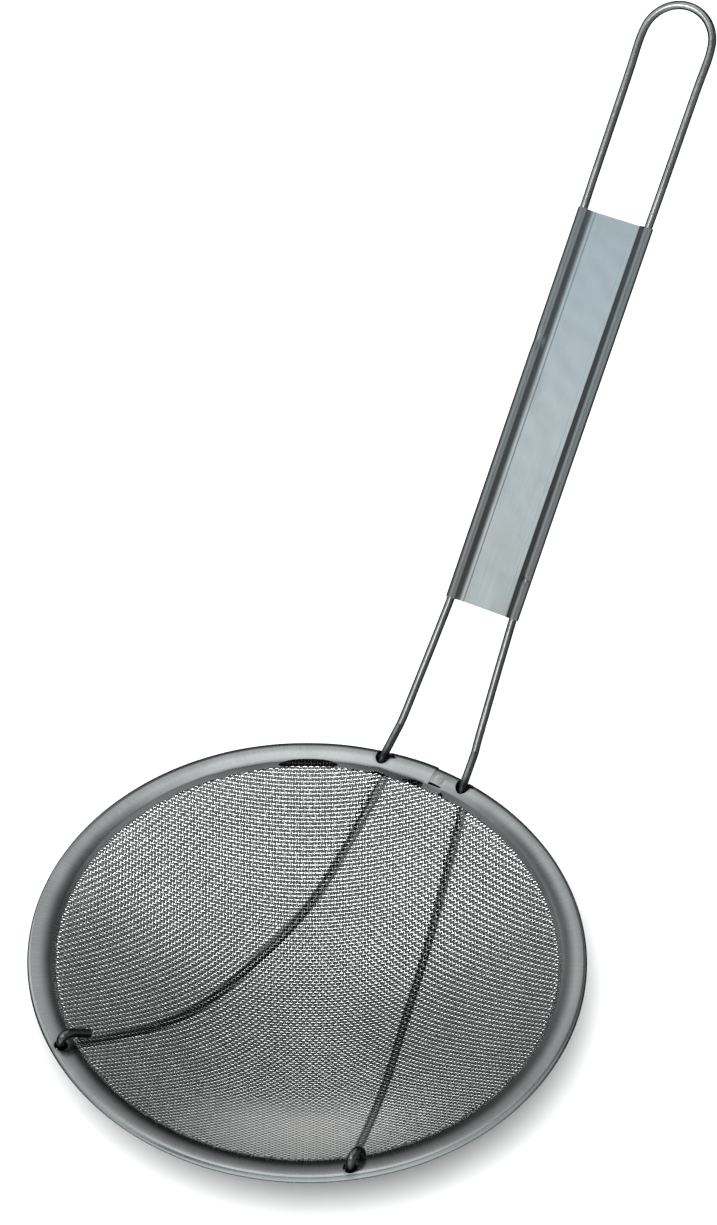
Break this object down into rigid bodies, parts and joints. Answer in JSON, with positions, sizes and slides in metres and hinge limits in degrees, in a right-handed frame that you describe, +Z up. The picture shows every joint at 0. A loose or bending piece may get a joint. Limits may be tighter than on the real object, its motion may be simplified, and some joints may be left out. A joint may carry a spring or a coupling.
{
  "type": "double sieve strainer",
  "caption": "Hand-held round strainer: a folded steel rim holding nested wire-cloth bowls, with wire supports, a curled sheet grip and a hanging loop.",
  "frame": {"origin": "middle of the object's bounding box in plan, at the level of its lowest point, the bottom of the bowl", "axes": "+Z up out of the bowl's mouth, square to the rim; +Y from the bowl towards the handle, which rises over it; +X to the right of someone looking along the handle from the bowl"},
  "size_m": [0.2, 0.3998, 0.2617],
  "materials": {
    "rim": "satin stainless sheet",
    "cloth": "woven stainless wire, slightly dull",
    "wire": "drawn round stainless wire",
    "grip": "smooth rolled stainless sheet"
  },
  "bodies": {
    "root": {"rim_band": "rim", "sieve_inner": "cloth", "sieve_outer": "cloth", "frame_wire_left": "wire", "frame_wire_right": "wire", "grip_plate": "grip", "hanging_loop": "wire"}
  },
  "joints": []
}
